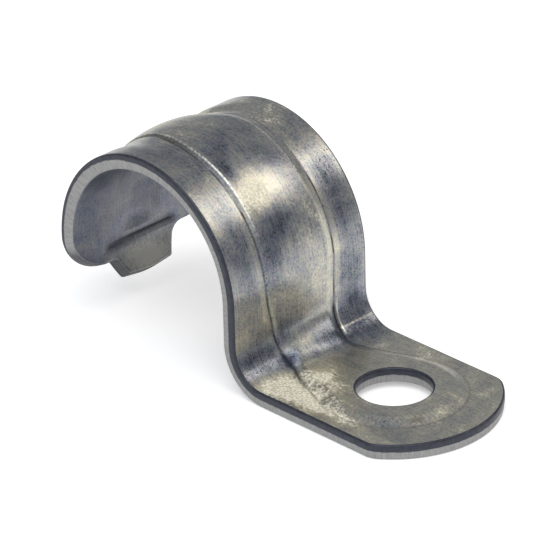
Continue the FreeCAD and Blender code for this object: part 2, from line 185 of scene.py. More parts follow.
def inwards(points):
    """Unit vectors into the sheet, for a path that keeps the sheet on its left."""
    run = np.roll(points, -1, axis=0) - np.roll(points, 1, axis=0)
    run /= np.linalg.norm(run, axis=1)[:, None]
    return np.stack([-run[:, 1], run[:, 0]], 1)


def cut_blank():
    """A flat closed plate with sheared edges, as a mesh: along, across, above the middle."""
    outline = blank_outline()
    hole = even(arc((HOLE, 0), HOLE_RADIUS, 360, 0, 200)[:-1], OUTLINE_STEP)
    edges = [(outline, inwards(outline)), (hole, inwards(hole))]
    points = []
    faces = []

    def add_face_sheet(inset, level, upwards):
        """One flat face, filled up to its own inset from the edges."""
        rings = [path + normal * inset for path, normal in edges]
        flat = [Vector(p) for ring in rings for p in ring]
        links = []
        start = 0
        for ring in rings:
            links += [(start + i, start + (i + 1) % len(ring)) for i in range(len(ring))]
            start += len(ring)
        hole_edge = np.linalg.norm(rings[1][0] - [HOLE, 0])
        flat += [Vector(p) for p in plate_points(rings[0], hole_edge)]
        spots, _, cells, *_ = delaunay_2d_cdt(flat, links, [], 1, 1e-9)
        first = len(points)
        points.extend((x, y, level) for x, y in spots)
        for cell in cells:
            middle = sum((spots[i] for i in cell), Vector((0, 0))) / len(cell)
            if (middle - Vector((HOLE, 0))).length > hole_edge:
                turned = cell if upwards else cell[::-1]
                faces.append([first + i for i in turned])

    add_face_sheet(EDGE_ROWS[0][0], GAUGE / 2, True)
    add_face_sheet(EDGE_ROWS[-1][0], -GAUGE / 2, False)
    for path, normal in edges:
        count = len(path)
        first = len(points)
        for inset, depth in EDGE_ROWS:
            ring = path + normal * inset
            points.extend((x, y, GAUGE / 2 - depth) for x, y in ring)
        for row in range(len(EDGE_ROWS) - 1):
            for i in range(count):
                j = (i + 1) % count
                upper = first + row * count
                lower = upper + count
                faces.append([upper + i, lower + i, lower + j, upper + j])

    mesh = bpy.data.meshes.new("blank")
    mesh.from_pydata(points, [], faces)
    weld(mesh)
    store_flat_places(mesh)
    return mesh


def across_lines():
    """Distances across the sheet at which its points lie, crowded under the rib's walls."""
    start, end = WALL_BAND
    half = np.concatenate([
        np.linspace(0, start, round(start / ACROSS_STEP), endpoint=False)[1:],
        np.linspace(start, end, round((end - start) / WALL_STEP), endpoint=False),
        np.arange(end, HALF_WIDTH, ACROSS_STEP),
    ])
    return np.concatenate([-half[::-1], [0], half])


def plate_points(outer, hole_edge):
    """Points to fill a flat face: inside the outer ring and beyond the hole's own edge."""
    even_from = LEG + 2 * MM
    hook = np.meshgrid(np.arange(outer[:, 0].min(), even_from, ALONG_STEP), across_lines(),
                       indexing="ij")
    foot = np.meshgrid(np.arange(even_from, outer[:, 0].max(), FOOT_STEP),
                       np.arange(-HALF_WIDTH, HALF_WIDTH, FOOT_STEP), indexing="ij")
    grid = np.concatenate([np.stack(part, -1).reshape(-1, 2) for part in (hook, foot)])
    grid = grid[np.linalg.norm(grid - [HOLE, 0], axis=1) > hole_edge + OUTLINE_STEP / 2]
    nearest = np.full(len(grid), np.inf)
    inside = np.zeros(len(grid), bool)
    for a, b in zip(outer, np.roll(outer, -1, axis=0)):
        nearest = np.minimum(nearest, np.abs(grid - a).max(1))
        crosses = (a[1] > grid[:, 1]) != (b[1] > grid[:, 1])
        if crosses.any():
            at = a[0] + (grid[:, 1] - a[1]) * (b[0] - a[0]) / (b[1] - a[1])
            inside ^= crosses & (grid[:, 0] < at)
    return grid[inside & (nearest > OUTLINE_STEP / 2)]


def weld(mesh):
    """Joins points that lie on each other, so that the plate is closed."""
    work = bmesh.new()
    work.from_mesh(mesh)
    bmesh.ops.remove_doubles(work, verts=work.verts, dist=TOUCHING)
    bmesh.ops.recalc_face_normals(work, faces=work.faces)
    work.to_mesh(mesh)
    work.free()


def store_flat_places(mesh):
    """Keeps each point's place on the flat blank, for the finishes to follow the sheet."""
    co = np.zeros(len(mesh.vertices) * 3, np.float32)
    mesh.vertices.foreach_get("co", co)
    mesh.attributes.new("flat", "FLOAT_VECTOR", "POINT").data.foreach_set("vector", co)


# Stains with painted light and shade, on the outer face and inside the hook: place along and
# across the sheet, reach both ways, all in millimetres, and how pale (up to 1) or dark (down to -1) they
# are.
# Many outer ones are painted light. The pale patches on the rib over the arch, at the gusset, on the
# foot past the bend and on the boss's near wall are painted highlights and reflections. The dark ones
# across the bend are painted shade that narrows the bend's highlight.
OUTER_STAINS_AND_PAINTED_LIGHT = [
    (-20.5, 1.5, 1.6, 5.5, 0.7),
    (-18.4, 2.6, 1.0, 1.2, 1.2),
    (-12.5, -0.5, 2.6, 3.4, -0.45),
    (-14.0, -5.6, 3.6, 2.0, -0.3),
    (-8.1, -1.9, 1.4, 1.8, 1.1),
    (-10.2, 1.2, 1.2, 1.6, -0.5),
    (-5.4, -1.1, 1.7, 1.7, -1.0),
    (-4.0, -5.6, 2.6, 2.2, -0.65),
    (-7.0, 5.8, 1.6, 1.5, -1.0),
    (-3.6, 5.8, 2.4, 1.6, -0.7),
    (1.8, 5.8, 2.6, 1.8, -0.8),
    (-7.6, 2.4, 1.4, 1.2, -0.5),
    (-0.4, 1.9, 3.6, 1.4, 0.1),
    (3.0, -1.2, 1.4, 1.6, -0.5),
    (4.9, -5.4, 1.2, 2.8, -0.9),
    (6.8, -5.4, 0.6, 2.4, -0.6),
    (7.2, -2.8, 1.1, 0.9, -1.2),
    (7.0, 1.8, 1.6, 2.4, -1.0),
    (4.2, 6.0, 1.2, 2.0, -0.8),
    (6.1, 5.8, 0.8, 2.2, -0.9),
    (6.1, -5.8, 0.8, 2.4, -0.6),
    (0.4, -5.7, 1.8, 1.8, -0.5),
    (-12.0, -2.6, 1.6, 0.8, -0.3),
    (-10.6, -3.1, 1.0, 0.7, -0.8),
    (-2.8, -2.8, 1.2, 1.0, -0.8),
    (5.6, -2.6, 0.6, 0.8, 0.7),
    (5.5, 1.2, 0.8, 1.4, -0.5),
    (-8.5, 6.5, 1.4, 1.2, -0.3),
    (-8.4, -5.4, 1.2, 1.4, -0.3),
    (-15.0, 5.4, 2.2, 2.0, 0.3),
    (7.4, 5.8, 1.2, 2.2, -0.8),
    (6.0, -1.2, 0.8, 0.8, 0.35),
    (9.3, -5.9, 1.3, 1.8, 1.6),
    (12.2, -5.8, 2.2, 1.6, 1.6),
    (11.4, -2.9, 2.0, 1.0, 1.2),
    (19.0, 0.0, 4.0, 9.0, -0.12),
    (4.2, -2.6, 2.0, 0.7, -0.6),
    (16.3, -6.2, 2.8, 0.6, 1.0),
    (20.4, -4.4, 1.6, 0.8, -0.3),
    (23.5, -5.2, 2.2, 1.6, -0.3),
    (16.5, 6.2, 3.0, 1.4, 0.15),
]
# Inside the hook the dark patches are painted shade, and the pale one on the tongue is a painted
# highlight.
INNER_PAINTED_SHADE_AND_HIGHLIGHT = [
    (-21.0, -4.5, 4.5, 3.6, -0.7),
    (-26.0, -6.0, 4.0, 2.0, -0.5),
    (-29.5, 2.0, 1.6, 3.5, -0.1),
    (-35.2, 0.0, 1.6, 3.0, 1.6),
]


def store_stains_and_painted_light(mesh):
    """Keeps how stained each point is, and the light and shade painted on it, before the finish breaks
    them up.
    """
    places = np.array([vertex.co for vertex in mesh.vertices]) / MM
    stain = np.zeros(len(places))
    for listed_patches, on_side in ((OUTER_STAINS_AND_PAINTED_LIGHT, places[:, 2] > 0), (INNER_PAINTED_SHADE_AND_HIGHLIGHT, places[:, 2] < 0)):
        for along, across, reach_along, reach_across, shade in listed_patches:
            away = np.hypot((places[:, 0] - along) / reach_along,
                            (places[:, 1] - across) / reach_across)
            stain += on_side * shade * np.exp(-away ** 2)
    mesh.attributes.new("stain", "FLOAT", "POINT").data.foreach_set("value", stain)


# ---------------------------------------------------------------- pressing and folding

def put(tree, kind, inputs=None, **settings):
    """Adds a node with its settings, and links or fills its inputs."""
    node = tree.nodes.new(kind)
    for name, wanted in settings.items():
        setattr(node, name, wanted)
    for key, source in (inputs or {}).items():
        if isinstance(source, bpy.types.Node):
            source = source.outputs[0]
        if isinstance(source, bpy.types.NodeSocket):
            tree.links.new(source, node.inputs[key])
        else:
            node.inputs[key].default_value = source
    return node


def bend_line():
    """The middle of the sheet seen from the side, as a curve from hook to foot."""
    arch = arc((0, 0), ARCH_RADIUS, math.degrees(HOOK_SWEEP), 0, 240)
    bend = arc((FOOT_START_X, BEND_LEVEL), BEND_RADIUS, 180, 270, 100)
    foot_end = [[HOLE_X + 2 * FOOT_END_RADIUS, WALL_LEVEL + GAUGE / 2]]
    points = np.concatenate([arch, bend, foot_end])
    curve = bpy.data.curves.new("bend_line", "CURVE")
    curve.dimensions = "3D"
    spline = curve.splines.new("POLY")
    spline.points.add(len(points) - 1)
    for point, (x, z) in zip(spline.points, points):
        point.co = (x, 0, z, 1)
    return bpy.data.objects.new("bend_line", curve)


PRESS_SIZES = {
    "Rib half width": 4.0 * MM,
    "Half width at the foot": 3.25 * MM,
    "Half width in the hook": 2.9 * MM,
    "Rib wall height": 0.29 * MM,
    "Rib wall width": 0.4 * MM,
    "Far wall width": 0.9 * MM,
    "Crown height": 0.22 * MM,
    "Groove depth": 0.34 * MM,
    "Gusset height": 0.55 * MM,
    "Gusset reach": 3.8 * MM,
    "Gusset wall width": 0.9 * MM,
    "Flare": math.radians(22),
    "Boss radius": 6.2 * MM,
    "Boss height": 0.52 * MM,
    "Boss wall width": 1.2 * MM,
    "Softness": 0.07 * MM,
    "Hook crease": on_hook(192.6),
    "Run-out": 2.4 * MM,
    "Crease depth": 0.2 * MM,
    "Waviness": 0.035 * MM,
    "Start of the curve": -on_hook(math.degrees(HOOK_SWEEP)),
}
# Where the rib gets lower and narrower, past the top of the arch.
PAST_ARCH = (-20.5 * MM, -13.5 * MM)
# The rib drifts towards +Y down the leg, comes back over the foot, and leans to -Y in the hook.
LEG_DRIFT = 0.25 * MM
HOOK_DRIFT = -0.2 * MM
DRIFT_END = (FOOT_START - 2 * MM, FOOT_START + 2 * MM)
# The band narrows down the leg, flares over the foot, and gives way to the boss.
LEG_NARROWS = (-2 * MM, LEG + 4 * MM)
FLARE_START = FOOT_START - 0.9 * MM
FLARE_TURN = 1 * MM
BAND_END = (HOLE - 2.3 * MM, HOLE)
BAND_DROP = 40 * MM
FAR_SIDE = (-0.5 * MM, 1.5 * MM)
FAR_NARROWING = 0.4 * MM
BOSS_BLEND = 0.8 * MM
# How the wall changes: across the middle, into the boss, down the leg, and on the gusset.
MIDDLE_STRIP = (-1 * MM, 1 * MM)
INTO_BOSS = (FOOT_START - 2.5 * MM, FOOT_START + 3.5 * MM)
LEG_LOWERS = (-6 * MM, LEG)
SHARE_ON_LEG = 0.55
SHARE_IN_HOOK = 0.5
RIB_SIDES = (-3 * MM, 3 * MM)
GUSSET_LEAN = (0.45, 1.2)
# The hollow has the same rise as the raised side, over a wider and softer wall.
HOLLOW_SPREAD = 1.6 * MM
HOLLOW_REACH = 0.6 * MM
HOLLOW_SOFTNESS = 0.3 * MM
CROWN_HALF_WIDTH = 3.4 * MM
CROWN_IN_HOOK = (2.7 * MM, 1.35)
# The sunk flange beside the rib: how far out, how wide, and how deep on either side.
GROOVE_PLACE = 1.4 * MM
GROOVE_REACH = 1.3 * MM
GROOVE_LEAN = (0.4, 1.0)
CREASE_SLANT = 0.036
CREASE_REACH = 0.34 * MM
CREASE_ENDS = (3.3 * MM, 4.6 * MM)
RIPPLE_LENGTH = 6 * MM


def press_sockets(tree):
    """Gives the press its inputs and its output, and returns the inputs."""
    kinds = {"Blank": "Geometry", "Bend line": "Object",
             "Sheet finish": "Material", "Edge finish": "Material"}
    for name, kind in kinds.items():
        tree.interface.new_socket(name, in_out="INPUT", socket_type="NodeSocket" + kind)
    for name, size in PRESS_SIZES.items():
        socket = tree.interface.new_socket(name, in_out="INPUT", socket_type="NodeSocketFloat")
        socket.default_value = size
    tree.interface.new_socket("Strap", in_out="OUTPUT", socket_type="NodeSocketGeometry")
    return put(tree, "NodeGroupInput").outputs


def blank_places(tree):
    """Where a point lies on the flat blank, and which stretch of the rib that is."""
    place = put(tree, "GeometryNodeInputPosition")
    along, across, above = put(tree, "ShaderNodeSeparateXYZ", {0: place}).outputs
    drift = put(tree, "ShaderNodeMapRange", {0: along, 2: LEG, 4: LEG_DRIFT},
                interpolation_type="SMOOTHSTEP")
    drift_end = put(tree, "ShaderNodeMapRange",
                    {0: along, 1: DRIFT_END[0], 2: DRIFT_END[1], 3: 1.0, 4: 0.0},
                    interpolation_type="SMOOTHSTEP")
    drift = put(tree, "ShaderNodeMath", {0: drift, 1: drift_end}, operation="MULTIPLY")
    past_arch = put(tree, "ShaderNodeMapRange",
                    {0: along, 1: PAST_ARCH[0], 2: PAST_ARCH[1], 3: 1.0, 4: 0.0},
                    interpolation_type="SMOOTHSTEP")
    drift = put(tree, "ShaderNodeMath", {0: past_arch, 1: HOOK_DRIFT, 2: drift},
                operation="MULTIPLY_ADD")
    sideways = put(tree, "ShaderNodeMath", {0: across, 1: drift}, operation="SUBTRACT")
    sideways = put(tree, "ShaderNodeMath", {0: sideways}, operation="ABSOLUTE")
    to_boss = put(tree, "ShaderNodeMapRange", {0: along, 1: INTO_BOSS[0], 2: INTO_BOSS[1]},
                  interpolation_type="SMOOTHSTEP")
    hollow = put(tree, "ShaderNodeMapRange", {0: above, 1: GAUGE / 4, 2: -GAUGE / 4},
                 interpolation_type="SMOOTHSTEP")
    return SimpleNamespace(along=along, across=across, above=above, sideways=sideways,
                           past_arch=past_arch, to_boss=to_boss, hollow=hollow)


def inside_pressing(tree, given, at):
    """How far a point lies inside the raised band or the boss, and below nought outside."""
    half_width = put(tree, "ShaderNodeMapRange",
                     {0: at.along, 1: LEG_NARROWS[0], 2: LEG_NARROWS[1],
                      3: given["Rib half width"], 4: given["Half width at the foot"]},
                     interpolation_type="SMOOTHSTEP")
    half_width = put(tree, "ShaderNodeMapRange",
                     {0: at.past_arch, 3: half_width, 4: given["Half width in the hook"]})
    flare = put(tree, "ShaderNodeMath", {0: at.along, 1: FLARE_START}, operation="SUBTRACT")
    flare = put(tree, "ShaderNodeMath", {0: flare, 1: 0.0}, operation="MAXIMUM")
    slope = put(tree, "ShaderNodeMath", {0: given["Flare"]}, operation="TANGENT")
    flare = put(tree, "ShaderNodeMath", {0: flare, 1: slope}, operation="MULTIPLY")
    band = put(tree, "ShaderNodeMath", {0: half_width, 1: flare}, operation="ADD")
    band = put(tree, "ShaderNodeMath", {0: band, 1: at.sideways}, operation="SUBTRACT")
    tilt = put(tree, "ShaderNodeMath", {0: given["Flare"]}, operation="COSINE")
    tilt = put(tree, "ShaderNodeMapRange",
               {0: at.along, 1: FLARE_START, 2: FLARE_START + FLARE_TURN, 3: 1.0, 4: tilt},
               interpolation_type="SMOOTHSTEP")
    band = put(tree, "ShaderNodeMath", {0: band, 1: tilt}, operation="MULTIPLY")
    drop = put(tree, "ShaderNodeMapRange", {0: at.along, 1: BAND_END[0], 2: BAND_END[1], 4: BAND_DROP},
               interpolation_type="SMOOTHSTEP")
    band = put(tree, "ShaderNodeMath", {0: band, 1: drop}, operation="SUBTRACT")
    narrower = put(tree, "ShaderNodeMapRange",
                   {0: at.across, 1: FAR_SIDE[0], 2: FAR_SIDE[1], 4: FAR_NARROWING},
                   interpolation_type="SMOOTHSTEP")
    narrower = put(tree, "ShaderNodeMath", {0: at.past_arch, 1: narrower}, operation="MULTIPLY")
    band = put(tree, "ShaderNodeMath", {0: band, 1: narrower}, operation="SUBTRACT")
    from_hole = put(tree, "ShaderNodeMath", {0: at.along, 1: HOLE}, operation="SUBTRACT")
    from_hole = put(tree, "ShaderNodeMath", {0: from_hole, 1: from_hole}, operation="MULTIPLY")
    boss = put(tree, "ShaderNodeMath", {0: at.across, 1: at.across}, operation="MULTIPLY")
    boss = put(tree, "ShaderNodeMath", {0: from_hole, 1: boss}, operation="ADD")
    boss = put(tree, "ShaderNodeMath", {0: boss}, operation="SQRT")
    boss = put(tree, "ShaderNodeMath", {0: given["Boss radius"], 1: boss}, operation="SUBTRACT")
    return put(tree, "ShaderNodeMath", {0: band, 1: boss, 2: BOSS_BLEND}, operation="SMOOTH_MAX")


def wall_sizes(tree, given, at):
    """Width and height of the wall round the pressing, and how near the gusset's middle."""
    in_bend = put(tree, "ShaderNodeMath", {0: at.along, 1: MID_BEND}, operation="SUBTRACT")
    in_bend = put(tree, "ShaderNodeMath", {0: in_bend}, operation="ABSOLUTE")
    in_bend = put(tree, "ShaderNodeMapRange", {0: in_bend, 2: given["Gusset reach"], 3: 1.0, 4: 0.0},
                  interpolation_type="SMOOTHSTEP")
    width = put(tree, "ShaderNodeMapRange",
                {0: at.across, 1: MIDDLE_STRIP[0], 2: MIDDLE_STRIP[1],
                 3: given["Rib wall width"], 4: given["Far wall width"]},
                interpolation_type="SMOOTHSTEP")
    width = put(tree, "ShaderNodeMapRange", {0: at.to_boss, 3: width, 4: given["Boss wall width"]})
    width = put(tree, "ShaderNodeMapRange", {0: in_bend, 3: width, 4: given["Gusset wall width"]})
    on_leg = put(tree, "ShaderNodeMapRange",
                 {0: at.along, 1: LEG_LOWERS[0], 2: LEG_LOWERS[1], 3: 1.0, 4: SHARE_ON_LEG},
                 interpolation_type="SMOOTHSTEP")
    height = put(tree, "ShaderNodeMath", {0: given["Rib wall height"], 1: on_leg},
                 operation="MULTIPLY")
    in_hook = put(tree, "ShaderNodeMapRange", {0: at.past_arch, 3: 1.0, 4: SHARE_IN_HOOK})
    height = put(tree, "ShaderNodeMath", {0: height, 1: in_hook}, operation="MULTIPLY")
    height = put(tree, "ShaderNodeMapRange", {0: at.to_boss, 3: height, 4: given["Boss height"]})
    gusset = put(tree, "ShaderNodeMapRange",
                 {0: at.across, 1: RIB_SIDES[0], 2: RIB_SIDES[1], 3: GUSSET_LEAN[0], 4: GUSSET_LEAN[1]},
                 interpolation_type="SMOOTHSTEP")
    gusset = put(tree, "ShaderNodeMath", {0: in_bend, 1: gusset}, operation="MULTIPLY")
    height = put(tree, "ShaderNodeMath", {0: gusset, 1: given["Gusset height"], 2: height},
                 operation="MULTIPLY_ADD")
    return width, height, in_bend


def pressed_height(tree, given, at, inside, width, height, in_bend):
    """How high the pressing stands over the flat sheet: wall and crown, less the groove."""
    spread = put(tree, "ShaderNodeMath", {0: at.hollow, 1: HOLLOW_SPREAD, 2: width},
                 operation="MULTIPLY_ADD")
    soft = put(tree, "ShaderNodeMath", {0: at.hollow, 1: in_bend}, operation="ADD")
    soft = put(tree, "ShaderNodeMath", {0: soft, 1: HOLLOW_SOFTNESS, 2: given["Softness"]},
               operation="MULTIPLY_ADD")
    wall = put(tree, "ShaderNodeMath", {0: at.hollow, 1: HOLLOW_REACH}, operation="MULTIPLY")
    wall = put(tree, "ShaderNodeMath", {0: inside, 1: wall}, operation="ADD")
    wall = put(tree, "ShaderNodeMath", {0: wall, 1: height}, operation="MULTIPLY")
    wall = put(tree, "ShaderNodeMath", {0: wall, 1: spread}, operation="DIVIDE")
    wall = put(tree, "ShaderNodeMath", {0: wall, 1: 0.0, 2: soft}, operation="SMOOTH_MAX")
    wall = put(tree, "ShaderNodeMath", {0: wall, 1: height, 2: soft}, operation="SMOOTH_MIN")

    crown_edge = put(tree, "ShaderNodeMapRange",
                     {0: at.past_arch, 3: CROWN_HALF_WIDTH ** 2, 4: CROWN_IN_HOOK[0] ** 2})
    crown = put(tree, "ShaderNodeMath", {0: at.sideways, 1: at.sideways}, operation="MULTIPLY")
    crown = put(tree, "ShaderNodeMapRange", {0: crown, 2: crown_edge, 3: given["Crown height"], 4: 0.0})
    off_boss = put(tree, "ShaderNodeMath", {0: 1.0, 1: at.to_boss}, operation="SUBTRACT")
    crown = put(tree, "ShaderNodeMath", {0: crown, 1: off_boss}, operation="MULTIPLY")
    higher = put(tree, "ShaderNodeMapRange", {0: at.past_arch, 3: 1.0, 4: CROWN_IN_HOOK[1]})
    crown = put(tree, "ShaderNodeMath", {0: crown, 1: higher}, operation="MULTIPLY")

    groove = put(tree, "ShaderNodeMath", {0: inside, 1: GROOVE_PLACE}, operation="ADD")
    groove = put(tree, "ShaderNodeMath", {0: groove}, operation="ABSOLUTE")
    groove = put(tree, "ShaderNodeMapRange",
                 {0: groove, 2: GROOVE_REACH, 3: given["Groove depth"], 4: 0.0},
                 interpolation_type="SMOOTHSTEP")
    lean = put(tree, "ShaderNodeMapRange",
               {0: at.across, 1: RIB_SIDES[0], 2: RIB_SIDES[1], 3: GROOVE_LEAN[0], 4: GROOVE_LEAN[1]},
               interpolation_type="SMOOTHSTEP")
    lean = put(tree, "ShaderNodeMath", {0: at.past_arch, 1: lean}, operation="MULTIPLY")
    groove = put(tree, "ShaderNodeMath", {0: groove, 1: lean}, operation="MULTIPLY")
    outer_face = put(tree, "ShaderNodeMath", {0: 1.0, 1: at.hollow}, operation="SUBTRACT")
    groove = put(tree, "ShaderNodeMath", {0: groove, 1: outer_face}, operation="MULTIPLY")
    raised = put(tree, "ShaderNodeMath", {0: wall, 1: crown}, operation="ADD")
    return put(tree, "ShaderNodeMath", {0: raised, 1: groove}, operation="SUBTRACT")


def hook_crease(tree, given, at):
    """The rib's end in the hook: how much of the rib is left, and a slanting inner crease."""
    crease = put(tree, "ShaderNodeMath", {0: at.across, 1: CREASE_SLANT}, operation="MULTIPLY")
    crease = put(tree, "ShaderNodeMath", {0: given["Hook crease"], 1: crease}, operation="ADD")
    past_crease = put(tree, "ShaderNodeMath", {0: at.along, 1: crease}, operation="SUBTRACT")
    run_out = put(tree, "ShaderNodeMapRange", {0: past_crease, 2: given["Run-out"]},
                  interpolation_type="SMOOTHSTEP")
    in_crease = put(tree, "ShaderNodeMath", {0: past_crease}, operation="ABSOLUTE")
    in_crease = put(tree, "ShaderNodeMapRange",
                    {0: in_crease, 2: CREASE_REACH, 3: given["Crease depth"], 4: 0.0},
                    interpolation_type="SMOOTHSTEP")
    ends = put(tree, "ShaderNodeMapRange",
               {0: at.sideways, 1: CREASE_ENDS[0], 2: CREASE_ENDS[1], 3: 1.0, 4: 0.0},
               interpolation_type="SMOOTHSTEP")
    in_crease = put(tree, "ShaderNodeMath", {0: in_crease, 1: ends}, operation="MULTIPLY")
    in_crease = put(tree, "ShaderNodeMath", {0: in_crease, 1: at.hollow}, operation="MULTIPLY")
    return run_out, in_crease


def folded_place(tree, given, at, lift):
    """Where a point of the sheet comes to lie when the sheet is folded on its bend line."""
    line = put(tree, "GeometryNodeObjectInfo", {"Object": given["Bend line"]})
    length = put(tree, "ShaderNodeMath", {0: at.along, 1: given["Start of the curve"]}, operation="ADD")
    sample = put(tree, "GeometryNodeSampleCurve",
                 {"Curves": line.outputs["Geometry"], "Length": length}, mode="LENGTH")
    outwards = put(tree, "ShaderNodeVectorMath",
                   {0: sample.outputs["Tangent"], 1: (0, 1, 0)}, operation="CROSS_PRODUCT")
    outwards = put(tree, "ShaderNodeVectorMath", {0: outwards}, operation="NORMALIZE")
    outwards = put(tree, "ShaderNodeVectorMath", {0: outwards, "Scale": lift}, operation="SCALE")
    folded = put(tree, "ShaderNodeVectorMath", {0: sample.outputs["Position"], 1: outwards},
                 operation="ADD")
    shift = put(tree, "ShaderNodeCombineXYZ", {0: 0.0, 1: at.across, 2: 0.0})
    return put(tree, "ShaderNodeVectorMath", {0: folded, 1: shift}, operation="ADD")


def press_and_fold():
    """Nodes that raise the rib and the boss in a flat blank, then fold it on the bend line."""
    tree = bpy.data.node_groups.new("press_and_fold", "GeometryNodeTree")
    given = press_sockets(tree)
    at = blank_places(tree)
    inside = inside_pressing(tree, given, at)
    width, height, in_bend = wall_sizes(tree, given, at)
    raised = pressed_height(tree, given, at, inside, width, height, in_bend)
    run_out, in_crease = hook_crease(tree, given, at)
    raised = put(tree, "ShaderNodeMath", {0: raised, 1: run_out}, operation="MULTIPLY")

    # Cold pressing leaves the sheet faintly wavy, in the same place on both faces.
    flat_place = put(tree, "ShaderNodeCombineXYZ", {0: at.along, 1: at.across, 2: 0.0})
    ripple = put(tree, "ShaderNodeTexNoise",
                 {"Vector": flat_place, "Scale": 1 / RIPPLE_LENGTH, "Detail": 2.0})
    wave = put(tree, "ShaderNodeMath", {0: ripple, 1: 0.5}, operation="SUBTRACT")
    wave = put(tree, "ShaderNodeMath", {0: wave, 1: given["Waviness"]}, operation="MULTIPLY")
    lift = put(tree, "ShaderNodeMath", {0: in_crease, 1: wave}, operation="ADD")
    lift = put(tree, "ShaderNodeMath", {0: raised, 1: lift}, operation="ADD")
    lift = put(tree, "ShaderNodeMath", {0: at.above, 1: lift}, operation="ADD")
    folded = folded_place(tree, given, at, lift)

    # The finishes follow the distances past the wall's base and shoulder, and the crease.
    past_shoulder = put(tree, "ShaderNodeMath", {0: inside, 1: width}, operation="SUBTRACT")
    sheet = given["Blank"]
    kept = {"in_press": inside, "past_shoulder": past_shoulder, "in_crease": in_crease}
    for name, value in kept.items():
        sheet = put(tree, "GeometryNodeStoreNamedAttribute",
                    {"Geometry": sheet, "Name": name, "Value": value}, data_type="FLOAT")
    sheet = put(tree, "GeometryNodeSetPosition", {"Geometry": sheet, "Position": folded})
    sheet = put(tree, "GeometryNodeRealizeInstances", {0: sheet})
    sheet = put(tree, "GeometryNodeSetMaterial",
                {"Geometry": sheet, "Material": given["Sheet finish"]})
    sheared = put(tree, "GeometryNodeInputNamedAttribute", {"Name": "sheared"}, data_type="BOOLEAN")
    sheet = put(tree, "GeometryNodeSetMaterial",
                {"Geometry": sheet, "Selection": sheared, "Material": given["Edge finish"]})
    put(tree, "NodeGroupOutput", {0: sheet})
    return tree


def mark_sheared_edge(mesh):
    """Marks the faces of the edge below its roll-over, as (sheared) true."""
    top = GAUGE / 2 - ROLL_IN[1][1] * MM
    bottom = GAUGE / 2 - ROLL_OUT[1][1] * MM
    heights = np.array([face.center.z for face in mesh.polygons])
    marks = (heights < top) & (heights > bottom)
    mesh.attributes.new("sheared", "BOOLEAN", "FACE").data.foreach_set("value", marks)


# ---------------------------------------------------------------- finishes

def colour(hex_code):
    """An sRGB hex colour as linear red, green, blue and full alpha."""
    parts = [int(hex_code[i:i + 2], 16) / 255 for i in (1, 3, 5)]
    return (*[c / 12.92 if c <= 0.04045 else ((c + 0.055) / 1.055) ** 2.4 for c in parts], 1)


def new_material(name):
    """An empty material and its node tree."""
    material = bpy.data.materials.new(name)
    material.use_nodes = True
    material.node_tree.nodes.clear()
    return material, material.node_tree


def line_at(tree, distance, place, full, gone, strength):
    """How strong a line is at a point: all of it within `full` of its place, none past `gone`."""
    away = put(tree, "ShaderNodeMath", {0: distance, 1: place}, operation="SUBTRACT")
    away = put(tree, "ShaderNodeMath", {0: away}, operation="ABSOLUTE")
    return put(tree, "ShaderNodeMapRange", {0: away, 1: full, 2: gone, 3: strength, 4: 0.0})


def stretch(tree, along, fade_in, fade_out, strength):
    """How strongly a point counts on a stretch of the sheet that fades in and out again."""
    start = put(tree, "ShaderNodeMapRange", {0: along, 1: fade_in[0], 2: fade_in[1]})
    end = put(tree, "ShaderNodeMapRange",
              {0: along, 1: fade_out[0], 2: fade_out[1], 3: strength, 4: 0.0})
    return put(tree, "ShaderNodeMath", {0: start, 1: end}, operation="MULTIPLY")


# Grain of the plating: the size of its blotches, speckle and tint, and the length and
# width of the marks that the press draws out along the sheet.
BLOTCH = 1.7 * MM
SPECKLE = 0.22 * MM
TINT = 0.6 * MM
DRAW_LENGTH = 5 * MM
DRAW_WIDTH = 0.16 * MM
# Stretches on which the painted light and shade change: on the arch, at the leg's end, and over the
# foot.
UPPER_ARCH = (on_hook(72), on_hook(45))
RIB_TOP = (on_hook(45), on_hook(25))
PAINTED_RIB = (on_hook(48), on_hook(26))
LEG_END = (LEG - 1 * MM, LEG + 1 * MM)
LIT_FOOT = (FOOT_START, FOOT_START + 2 * MM)
FOOT_SHADE_FADE = (FOOT_START, HOLE - 3 * MM)
SLIT = ((LEG - 0.6 * MM, LEG + 0.6 * MM), (MID_BEND + 0.2 * MM, MID_BEND + 0.9 * MM))
FOLD = ((MID_BEND - 1.2 * MM, MID_BEND + 0.2 * MM), (FOOT_START + 1 * MM, FOOT_START + 3 * MM))
# The smudge at the front of the boss: how far from the hole, and in which direction.
SMUDGE_RADIUS = 5.6 * MM
SMUDGE_TOWARDS = (0.7, -0.71, 0.0)


